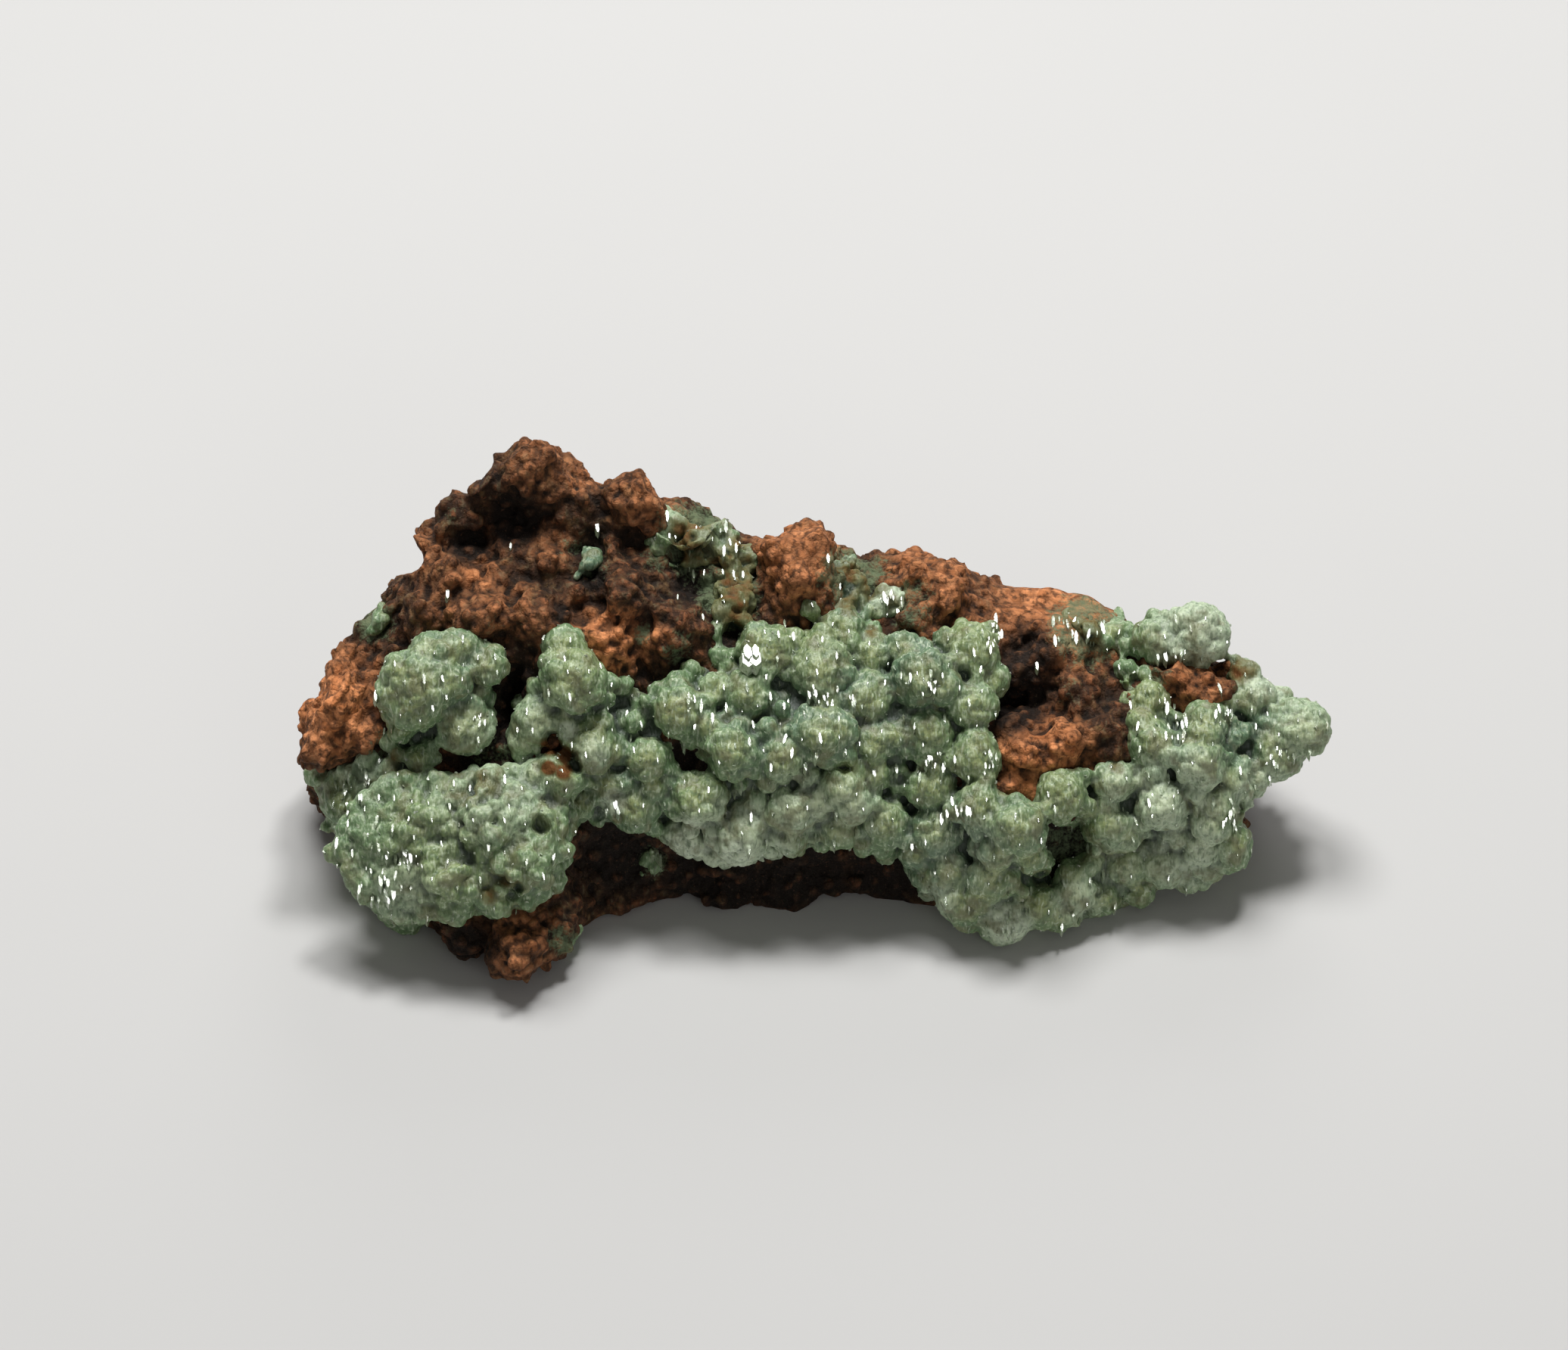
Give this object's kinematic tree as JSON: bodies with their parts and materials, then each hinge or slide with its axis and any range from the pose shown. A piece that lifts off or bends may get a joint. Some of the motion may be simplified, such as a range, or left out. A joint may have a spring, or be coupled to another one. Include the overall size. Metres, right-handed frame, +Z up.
{
  "type": "adamite mineral specimen",
  "caption": "Rusty limonite rock with a green botryoidal adamite crust over its sloping front face, resting on a flat base.",
  "frame": {"origin": "middle of the footprint, on the ground", "axes": "+X along the specimen to the right of the crusted face, +Y from the crusted face to the back, +Z up"},
  "size_m": [0.0722, 0.0342, 0.0266],
  "materials": {
    "limonite": "rough earthy rust brown with dark hollows",
    "adamite": "translucent green, drusy and sparkling"
  },
  "bodies": {
    "root": {"limonite_matrix": "limonite", "adamite_crust": "adamite", "adamite_leaf": "adamite", "adamite_left_rim": "adamite", "adamite_wall_bit": "adamite", "adamite_foot_bit": "adamite"}
  },
  "joints": []
}
